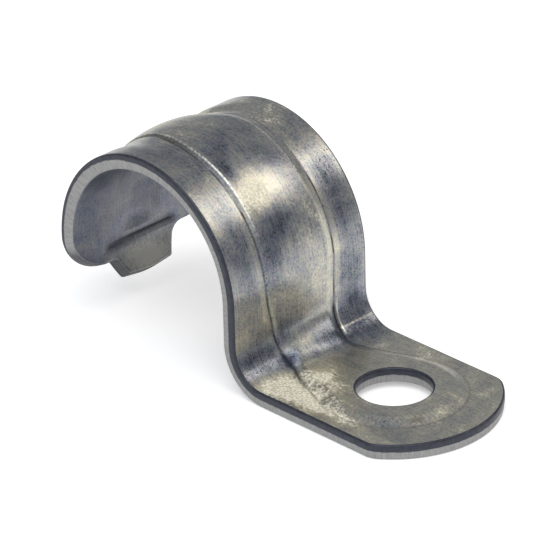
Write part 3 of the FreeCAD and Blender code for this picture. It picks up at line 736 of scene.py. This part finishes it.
def zinc_places(tree):
    """What the plating follows: its grain, the stains with their painted light and shade, and the
    distances the press kept.
    """
    flat = put(tree, "ShaderNodeAttribute", attribute_name="flat").outputs["Vector"]
    along, across, above = put(tree, "ShaderNodeSeparateXYZ", {0: flat}).outputs
    kept = {name: put(tree, "ShaderNodeAttribute", attribute_name=name).outputs["Fac"]
            for name in ("stain", "in_press", "past_shoulder", "in_crease")}
    outside = put(tree, "ShaderNodeMath", {0: above, 1: 0.0}, operation="GREATER_THAN")
    far_side = put(tree, "ShaderNodeMath", {0: across, 1: 0.0}, operation="GREATER_THAN")
    near_side = put(tree, "ShaderNodeMath", {0: across, 1: 0.0}, operation="LESS_THAN")
    blotches = put(tree, "ShaderNodeTexNoise",
                   {"Vector": flat, "Scale": 1 / BLOTCH, "Detail": 5.0, "Roughness": 0.6,
                    "Distortion": 0.2})
    speckle = put(tree, "ShaderNodeTexNoise",
                  {"Vector": flat, "Scale": 1 / SPECKLE, "Detail": 3.0, "Roughness": 0.7})
    stretched = put(tree, "ShaderNodeVectorMath",
                    {0: flat, 1: (1 / DRAW_LENGTH, 1 / DRAW_WIDTH, 1 / DRAW_LENGTH)},
                    operation="MULTIPLY")
    draw_marks = put(tree, "ShaderNodeTexNoise", {"Vector": stretched, "Scale": 1.0, "Detail": 3.0})
    return SimpleNamespace(flat=flat, along=along, across=across, outside=outside,
                           far_side=far_side, near_side=near_side, blotches=blotches,
                           speckle=speckle, draw_marks=draw_marks, **kept)


def zinc_colour(tree, at):
    """Bare plating, from blue-grey to cream with its tone, painted paler on the foot, beside the rib and
    on its far wall as light, and darker and cooler on the inner face as shade.
    """
    tone = put(tree, "ShaderNodeMath", {0: at.blotches, 1: 0.6, 2: -0.42}, operation="MULTIPLY_ADD")
    for pattern, weight in ((at.speckle, 0.9), (at.draw_marks, 0.34), (at.stain, 0.3)):
        tone = put(tree, "ShaderNodeMath", {0: pattern, 1: weight, 2: tone},
                   operation="MULTIPLY_ADD")
    # Painted light: the foot is painted paler from the end of the bend, as light on its upper face.
    lit_foot = put(tree, "ShaderNodeMapRange", {0: at.along, 1: LIT_FOOT[0], 2: LIT_FOOT[1], 4: 0.14})
    above_foot = put(tree, "ShaderNodeMapRange",
                     {0: at.along, 1: LEG_END[0], 2: LEG_END[1], 3: 1.0, 4: 0.0})
    # Painted light: a paler strip on the flange beside the rib, and a paler band on the rib's far wall,
    # from the arch's shoulder down the leg to its end.
    by_rib = line_at(tree, at.in_press, -0.45 * MM, 0.15 * MM, 0.45 * MM, 0.14)
    by_rib = put(tree, "ShaderNodeMapRange", {0: at.along, 1: RIB_TOP[0], 2: RIB_TOP[1], 4: by_rib})
    by_rib = put(tree, "ShaderNodeMath", {0: by_rib, 1: above_foot}, operation="MULTIPLY")
    far_wall = line_at(tree, at.in_press, 0.55 * MM, 0.3 * MM, 0.6 * MM, 0.16)
    far_wall = put(tree, "ShaderNodeMapRange", {0: at.across, 2: 1 * MM, 4: far_wall})
    far_wall = put(tree, "ShaderNodeMapRange",
                   {0: at.along, 1: UPPER_ARCH[0], 2: UPPER_ARCH[1], 4: far_wall})
    far_wall = put(tree, "ShaderNodeMath", {0: far_wall, 1: above_foot}, operation="MULTIPLY")
    for lighter in (lit_foot, by_rib, far_wall):
        tone = put(tree, "ShaderNodeMath", {0: tone, 1: lighter}, operation="ADD")
    metal = put(tree, "ShaderNodeValToRGB", {0: tone})
    stops = metal.color_ramp.elements
    stops[0].position, stops[0].color = 0.08, colour("#3f4450")
    stops[1].position, stops[1].color = 0.92, colour("#efe9d2")
    for position, hex_code in ((0.32, "#81858d"), (0.52, "#a8a7a2"), (0.72, "#c8c4b2")):
        stops.new(position).color = colour(hex_code)
    tint = put(tree, "ShaderNodeTexNoise", {"Vector": at.flat, "Scale": 1 / TINT, "Detail": 3.0})
    metal = put(tree, "ShaderNodeMix", {"Factor": 0.16, 6: metal, 7: tint.outputs["Color"]},
                data_type="RGBA", blend_type="SOFT_LIGHT")
    # Painted shade: the inner face is mixed towards a dark blue-grey, as the shade inside the hook.
    inner = put(tree, "ShaderNodeMix", {"Factor": 0.6, 6: metal.outputs[2], 7: colour("#485066")},
                data_type="RGBA")
    return put(tree, "ShaderNodeMix",
               {"Factor": at.outside, 6: inner.outputs[2], 7: metal.outputs[2]}, data_type="RGBA")


def zinc_bloom(tree, at):
    """How much oxide covers a point: it breaks up where the stains are strongest, so it also turns the
    pale painted highlights among them cream.
    """
    ragged = put(tree, "ShaderNodeMath", {0: at.speckle, 1: 0.9, 2: at.blotches},
                 operation="MULTIPLY_ADD")
    bloom = put(tree, "ShaderNodeMath", {0: ragged, 1: 3.0, 2: at.stain}, operation="MULTIPLY_ADD")
    bloom = put(tree, "ShaderNodeMapRange", {0: bloom, 1: 3.25, 2: 4.15, 3: 0.0, 4: 0.95})
    return put(tree, "ShaderNodeMath", {0: bloom, 1: at.outside}, operation="MULTIPLY")


def boss_smudge(tree, at):
    """A soft broken smudge on the boss, between the hole and the near edge."""
    from_hole = put(tree, "ShaderNodeVectorMath", {0: at.flat, 1: (HOLE, 0.0, GAUGE / 2)},
                    operation="SUBTRACT")
    radius = put(tree, "ShaderNodeVectorMath", {0: from_hole}, operation="LENGTH")
    towards = put(tree, "ShaderNodeVectorMath", {0: from_hole}, operation="NORMALIZE")
    towards = put(tree, "ShaderNodeVectorMath", {0: towards, 1: SMUDGE_TOWARDS},
                  operation="DOT_PRODUCT")
    strip = line_at(tree, radius.outputs["Value"], SMUDGE_RADIUS, 0.1 * MM, 0.8 * MM, 0.16)
    strip = put(tree, "ShaderNodeMapRange", {0: towards.outputs["Value"], 1: 0.84, 2: 0.92, 4: strip})
    limit = put(tree, "ShaderNodeMapRange", {0: strip, 2: 0.14, 3: 0.0, 4: 0.62})
    smudge = put(tree, "ShaderNodeMath", {0: strip, 1: at.blotches}, operation="ADD")
    smudge = put(tree, "ShaderNodeMapRange", {0: smudge, 1: 0.5, 2: 0.72, 4: at.outside})
    return put(tree, "ShaderNodeMath", {0: smudge, 1: limit}, operation="MULTIPLY")


def painted_base_shade(tree, at, slit, fold):
    """Painted shade along the base of the walls, where they meet the flat sheet, wider in the slit
    and the fold, and fainter on the foot and on the far side of the arch."""
    broken = put(tree, "ShaderNodeMapRange", {0: at.blotches, 1: 0.38, 2: 0.6, 3: 0.25, 4: 0.9})
    deep = put(tree, "ShaderNodeMath", {0: slit, 1: fold}, operation="MAXIMUM")
    broken = put(tree, "ShaderNodeMath", {0: broken, 1: deep}, operation="MAXIMUM")
    reach = put(tree, "ShaderNodeMapRange", {0: deep, 3: 0.16 * MM, 4: 0.36 * MM})
    darkening = line_at(tree, at.in_press, 0.0, 0.02 * MM, reach, broken)
    darkening = put(tree, "ShaderNodeMath", {0: darkening, 1: at.outside}, operation="MULTIPLY")
    on_foot = put(tree, "ShaderNodeMapRange",
                  {0: at.along, 1: FOOT_SHADE_FADE[0], 2: FOOT_SHADE_FADE[1], 3: 1.0, 4: 0.45})
    darkening = put(tree, "ShaderNodeMath", {0: darkening, 1: on_foot}, operation="MULTIPLY")
    on_arch = put(tree, "ShaderNodeMapRange", {0: at.far_side, 3: 1.0, 4: 0.4})
    on_arch = put(tree, "ShaderNodeMapRange",
                  {0: at.along, 1: UPPER_ARCH[0], 2: UPPER_ARCH[1], 3: on_arch, 4: 1.0})
    return put(tree, "ShaderNodeMath", {0: darkening, 1: on_arch}, operation="MULTIPLY")


def painted_shade_and_marks(tree, at, slit, fold, on_rib):
    """All the darkening: painted shade at the walls' base, on the near wall and in the hook's crease,
    and the specks and smudge.
    """
    # Painted shade: the hook's inner crease is darkened, as a valley in shadow.
    crease = put(tree, "ShaderNodeMapRange", {0: at.in_crease, 1: 0.01 * MM, 2: 0.16 * MM, 4: 0.75})
    # Painted shade: the rib's near wall is darkened from its base to its shoulder.
    wall = put(tree, "ShaderNodeMapRange",
               {0: at.past_shoulder, 1: -0.15 * MM, 2: -0.02 * MM, 3: 0.75, 4: 0.0})
    above_base = put(tree, "ShaderNodeMapRange", {0: at.in_press, 1: -0.05 * MM, 2: 0.08 * MM})
    for part in (above_base, on_rib, at.near_side):
        wall = put(tree, "ShaderNodeMath", {0: wall, 1: part}, operation="MULTIPLY")
    specks = put(tree, "ShaderNodeMath", {0: at.stain, 1: -0.1, 2: at.speckle},
                 operation="MULTIPLY_ADD")
    specks = put(tree, "ShaderNodeMapRange", {0: specks, 1: 0.62, 2: 0.72, 3: 0.0, 4: 0.8})
    darkening = painted_base_shade(tree, at, slit, fold)
    for more in (crease, wall, specks, boss_smudge(tree, at)):
        darkening = put(tree, "ShaderNodeMath", {0: darkening, 1: more}, operation="MAXIMUM")
    return darkening


def painted_highlight_lines(tree, at, slit, on_rib):
    """Painted highlights: bright lines along the rib's shoulders, along the middle of the bend
    on the flanges, and beside the slit."""
    # Painted highlight along the rib's shoulders, broken up by the speckle.
    glint_strength = put(tree, "ShaderNodeMapRange", {0: at.speckle, 1: 0.4, 2: 0.56, 3: 0.15, 4: 1.0})
    shoulder = line_at(tree, at.past_shoulder, 0.0, 0.02 * MM, 0.14 * MM, glint_strength)
    shoulder = put(tree, "ShaderNodeMath", {0: shoulder, 1: on_rib}, operation="MULTIPLY")
    # Painted highlight: a thin line along the middle of the bend on the flanges, fainter on the far
    # side.
    bend_highlight = line_at(tree, at.along, MID_BEND, 0.03 * MM, 0.18 * MM, 0.2)
    on_flange = put(tree, "ShaderNodeMapRange",
                    {0: at.in_press, 1: -0.3 * MM, 2: -0.1 * MM, 3: at.outside, 4: 0.0})
    fainter = put(tree, "ShaderNodeMapRange", {0: at.far_side, 3: 0.15, 4: 1.0})
    for part in (on_flange, fainter):
        bend_highlight = put(tree, "ShaderNodeMath", {0: bend_highlight, 1: part}, operation="MULTIPLY")
    painted_highlights = put(tree, "ShaderNodeMath", {0: shoulder, 1: bend_highlight}, operation="MAXIMUM")
    # Painted highlight: a thin line on the flange beside the slit.
    slit_highlight = put(tree, "ShaderNodeMath", {0: slit, 1: at.outside}, operation="MULTIPLY")
    slit_highlight = line_at(tree, at.in_press, -0.44 * MM, 0.02 * MM, 0.11 * MM, slit_highlight)
    return put(tree, "ShaderNodeMath", {0: slit_highlight, 1: 0.5, 2: painted_highlights}, operation="MULTIPLY_ADD")


def rolled_zinc():
    """Zinc plating gone dull: speckled blue-grey metal with matt cream bloom where it has
    oxidised, draw marks, painted shade in the pressed corners and painted highlight lines."""
    material, tree = new_material("zinc_plated_sheet")
    at = zinc_places(tree)
    # Painted shade in the slit at the rear of the gusset and in the fold at its front.
    slit = stretch(tree, at.along, *SLIT, 1.0)
    slit = put(tree, "ShaderNodeMath", {0: slit, 1: at.far_side}, operation="MULTIPLY")
    fold = stretch(tree, at.along, *FOLD, 0.8)
    fold = put(tree, "ShaderNodeMath", {0: fold, 1: at.near_side}, operation="MULTIPLY")
    # Where the painted highlight on the rib's shoulders and the painted shade on its near wall lie.
    on_rib = put(tree, "ShaderNodeMapRange",
                 {0: at.along, 1: PAINTED_RIB[0], 2: PAINTED_RIB[1], 3: 0.7, 4: 0.0})
    on_rib = put(tree, "ShaderNodeMath", {0: on_rib, 1: at.outside}, operation="MULTIPLY")
    metal = zinc_colour(tree, at)
    bloom = zinc_bloom(tree, at)
    darkening = painted_shade_and_marks(tree, at, slit, fold, on_rib)
    painted_highlights = painted_highlight_lines(tree, at, slit, on_rib)

    # Bloom lies on the metal as chalk, the painted shade and specks lie on both, and the painted
    # highlight lines lie over all of it.
    crust = put(tree, "ShaderNodeMapRange", {0: at.speckle, 1: 0.38, 2: 0.6})
    chalk = put(tree, "ShaderNodeMix", {"Factor": crust, 6: colour("#b3ae97"), 7: colour("#f2ecda")},
                data_type="RGBA")
    shade = metal
    for cover, top in ((bloom, chalk.outputs[2]), (darkening, colour("#1d1f26")),
                       (painted_highlights, colour("#f4f0df"))):
        shade = put(tree, "ShaderNodeMix", {"Factor": cover, 6: shade.outputs[2], 7: top},
                    data_type="RGBA")

    # Bloom, and the painted shade with the specks, make the surface rougher, and bloom hides the metal's
    # shine.
    metallic = put(tree, "ShaderNodeMapRange", {0: bloom, 3: 1.0, 4: 0.25})
    rough = put(tree, "ShaderNodeMath", {0: at.speckle, 1: 0.16, 2: 0.24}, operation="MULTIPLY_ADD")
    for cover, rougher in ((bloom, 0.35), (darkening, 0.3)):
        rough = put(tree, "ShaderNodeMath", {0: cover, 1: rougher, 2: rough},
                    operation="MULTIPLY_ADD")
    relief = put(tree, "ShaderNodeMath", {0: at.draw_marks, 1: 0.6, 2: at.speckle},
                 operation="MULTIPLY_ADD")
    bump = put(tree, "ShaderNodeBump", {"Strength": 0.4, "Distance": 0.02 * MM, "Height": relief})
    shader = put(tree, "ShaderNodeBsdfPrincipled",
                 {"Base Color": shade.outputs[2], "Metallic": metallic, "Roughness": rough,
                  "Normal": bump})
    put(tree, "ShaderNodeOutputMaterial", {"Surface": shader})
    return material


# Grain of the sheared edge: the ragged line's waves, and the width and length of scores.
RAGGED = 0.45 * MM
SCORE_WIDTH = 0.12 * MM
SCORE_LENGTH = 1.5 * MM
# How deep the burnished band reaches: less in the hook, and more down to the foot.
BURNISH_FROM = (on_hook(150), on_hook(60))
BURNISH_DEPTH = (0.42 * MM, 0.66 * MM)
RAGGED_HEIGHT = 0.2 * MM
BAND_EDGE = 0.04 * MM
# Where the edge at the hook's end is painted darker, as shadow.
SHADED_HOOK_END = (on_hook(192), on_hook(186))


def sheared_steel():
    """Steel cut by the blanking punch: a dark burnished band over a torn pale one, with a
    ragged line between them and scores across both. The hook's own end is painted darker, as shadow."""
    material, tree = new_material("sheared_steel")
    flat = put(tree, "ShaderNodeAttribute", attribute_name="flat").outputs["Vector"]
    along, _, above = put(tree, "ShaderNodeSeparateXYZ", {0: flat}).outputs
    noise = put(tree, "ShaderNodeTexNoise", {"Vector": flat, "Scale": 1 / RAGGED, "Detail": 4.0})
    scores = put(tree, "ShaderNodeVectorMath",
                 {0: flat, 1: (1 / SCORE_WIDTH, 1 / SCORE_WIDTH, 1 / SCORE_LENGTH)},
                 operation="MULTIPLY")
    scores = put(tree, "ShaderNodeTexNoise", {"Vector": scores, "Scale": 1.0, "Detail": 2.0})
    burnish_depth = put(tree, "ShaderNodeMapRange",
                        {0: along, 1: BURNISH_FROM[0], 2: BURNISH_FROM[1],
                         3: BURNISH_DEPTH[0], 4: BURNISH_DEPTH[1]})
    # The noise is about a half, so half its height keeps the line where it should be.
    depth = put(tree, "ShaderNodeMath", {0: GAUGE / 2 + RAGGED_HEIGHT / 2, 1: above},
                operation="SUBTRACT")
    depth = put(tree, "ShaderNodeMath", {0: noise, 1: -RAGGED_HEIGHT, 2: depth},
                operation="MULTIPLY_ADD")
    below = put(tree, "ShaderNodeMath", {0: depth, 1: burnish_depth}, operation="SUBTRACT")
    band = put(tree, "ShaderNodeMapRange", {0: below, 1: BAND_EDGE, 2: -BAND_EDGE})
    torn = put(tree, "ShaderNodeMix", {"Factor": scores, 6: colour("#737478"), 7: colour("#b9b8b4")},
               data_type="RGBA")
    burnished = put(tree, "ShaderNodeMix",
                    {"Factor": noise, 6: colour("#1c1e27"), 7: colour("#474a55")}, data_type="RGBA")
    shade = put(tree, "ShaderNodeMix",
                {"Factor": band, 6: torn.outputs[2], 7: burnished.outputs[2]}, data_type="RGBA")
    # Painted shadow: the edge is darkened towards the hook's end.
    end = put(tree, "ShaderNodeMapRange", {0: along, 1: SHADED_HOOK_END[0], 2: SHADED_HOOK_END[1], 3: 0.75, 4: 0.0})
    shade = put(tree, "ShaderNodeMix", {"Factor": end, 6: shade.outputs[2], 7: colour("#23252e")},
                data_type="RGBA")
    rough = put(tree, "ShaderNodeMapRange", {0: band, 3: 0.6, 4: 0.42})
    bump = put(tree, "ShaderNodeBump", {"Strength": 0.5, "Distance": 0.03 * MM, "Height": scores})
    shader = put(tree, "ShaderNodeBsdfPrincipled",
                 {"Base Color": shade.outputs[2], "Metallic": 0.5, "Roughness": rough,
                  "Normal": bump})
    put(tree, "ShaderNodeOutputMaterial", {"Surface": shader})
    return material


# ---------------------------------------------------------------- the strap

def make_strap():
    """Blank, press, fold and finish, as one plain mesh that stands for the CAD's strap."""
    mesh = cut_blank()
    mark_sheared_edge(mesh)
    store_stains_and_painted_light(mesh)
    blank = bpy.data.objects.new("blank", mesh)
    line = bend_line()
    for part in (blank, line):
        bpy.context.scene.collection.objects.link(part)
    press = blank.modifiers.new("press_and_fold", "NODES")
    press.node_group = press_and_fold()
    sockets = {item.name: item.identifier for item in press.node_group.interface.items_tree
               if item.in_out == "INPUT"}
    press[sockets["Bend line"]] = line
    press[sockets["Sheet finish"]] = rolled_zinc()
    press[sockets["Edge finish"]] = sheared_steel()
    bpy.context.view_layer.update()
    seen = blank.evaluated_get(bpy.context.evaluated_depsgraph_get())
    strap = bpy.data.objects.new("pressed_strap", bpy.data.meshes.new_from_object(seen))
    bpy.context.scene.collection.objects.link(strap)
    strap.data.polygons.foreach_set("use_smooth", [True] * len(strap.data.polygons))
    bpy.data.objects.remove(blank)
    bpy.data.objects.remove(line)
    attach(strap, "root")
    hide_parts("strap")


# ---------------------------------------------------------------- floor, light and camera

def white_card():
    """Matt white card, which glows a little for the camera but lights the strap as card."""
    material, tree = new_material("white_card")
    card = put(tree, "ShaderNodeBsdfPrincipled", {"Base Color": colour("#f2f2f2"), "Roughness": 0.9})
    glow = put(tree, "ShaderNodeEmission", {"Strength": 0.35})
    lit = put(tree, "ShaderNodeAddShader", {0: card, 1: glow})
    rays = put(tree, "ShaderNodeLightPath").outputs
    seen = put(tree, "ShaderNodeMath", {0: rays["Is Camera Ray"], 1: rays["Is Glossy Ray"]},
               operation="ADD")
    seen = put(tree, "ShaderNodeMath", {0: seen, 1: rays["Is Transmission Ray"]}, operation="ADD",
               use_clamp=True)
    surface = put(tree, "ShaderNodeMixShader", {0: seen, 1: card, 2: lit})
    put(tree, "ShaderNodeOutputMaterial", {"Surface": surface})
    return material


FLOOR_REACH = 3.0
FLOOR_GAP = 0.01 * MM


def make_floor():
    """The pale plane under the strap, a hair below it so that the foot's waves stay clear."""
    mesh = bpy.data.meshes.new("floor")
    corners = [(-FLOOR_REACH, -FLOOR_REACH), (FLOOR_REACH, -FLOOR_REACH),
               (FLOOR_REACH, FLOOR_REACH), (-FLOOR_REACH, FLOOR_REACH)]
    level = WALL_LEVEL - FLOOR_GAP
    mesh.from_pydata([(x, y, level) for x, y in corners], [], [(0, 1, 2, 3)])
    floor = bpy.data.objects.new("floor", mesh)
    bpy.context.scene.collection.objects.link(floor)
    mesh.materials.append(white_card())


def softbox(name, toward, size, power, hex_code="#ffffff"):
    """A square area lamp a metre away in a given direction, which faces the strap."""
    lamp = bpy.data.lights.new(name, "AREA")
    lamp.size = size
    lamp.energy = power
    lamp.color = colour(hex_code)[:3]
    holder = bpy.data.objects.new(name, lamp)
    direction = Vector(toward).normalized()
    holder.location = direction
    holder.rotation_euler = direction.to_track_quat("Z", "Y").to_euler()
    bpy.context.scene.collection.objects.link(holder)


def make_lights():
    """A warm key lamp behind the foot, a broad soft one overhead, and a cool even sky."""
    softbox("key", (0.38, 0.61, 0.69), 0.4, 1.75, "#fff6e8")
    softbox("top", (0.35, -0.45, 1.0), 1.0, 7.5)
    world = bpy.data.worlds.new("studio")
    world.use_nodes = True
    world.node_tree.nodes["Background"].inputs[0].default_value = colour("#abadb1")
    world.node_tree.nodes["Background"].inputs[1].default_value = 1.0
    bpy.context.scene.world = world


CAMERA_AZIMUTH = math.radians(46.27)
CAMERA_ELEVATION = math.radians(27.36)
CAMERA_ROLL = math.radians(1.42)
CAMERA_TARGET = Vector((9.095, -0.975, 0.038)) * MM
CAMERA_DISTANCE = 462.4  # millimetres


def make_camera():
    """Looks down on the foot from its near side, through a long lens, a little rolled."""
    level = math.cos(CAMERA_ELEVATION)
    towards = Vector((math.sin(CAMERA_AZIMUTH) * level, -math.cos(CAMERA_AZIMUTH) * level,
                      math.sin(CAMERA_ELEVATION)))
    camera = bpy.data.objects.new("camera", bpy.data.cameras.new("camera"))
    camera.data.lens = 358
    camera.data.sensor_width = 36
    camera.data.clip_start = 0.01
    turn = towards.to_track_quat("Z", "Y").to_matrix() @ Matrix.Rotation(-CAMERA_ROLL, 3, "Z")
    place = CAMERA_TARGET + towards * CAMERA_DISTANCE * MM
    camera.matrix_world = Matrix.LocRotScale(place, turn.to_quaternion(), None)
    bpy.context.scene.collection.objects.link(camera)
    bpy.context.scene.camera = camera


make_strap()
make_floor()
make_lights()
make_camera()
bpy.context.scene.view_settings.view_transform = "Standard"
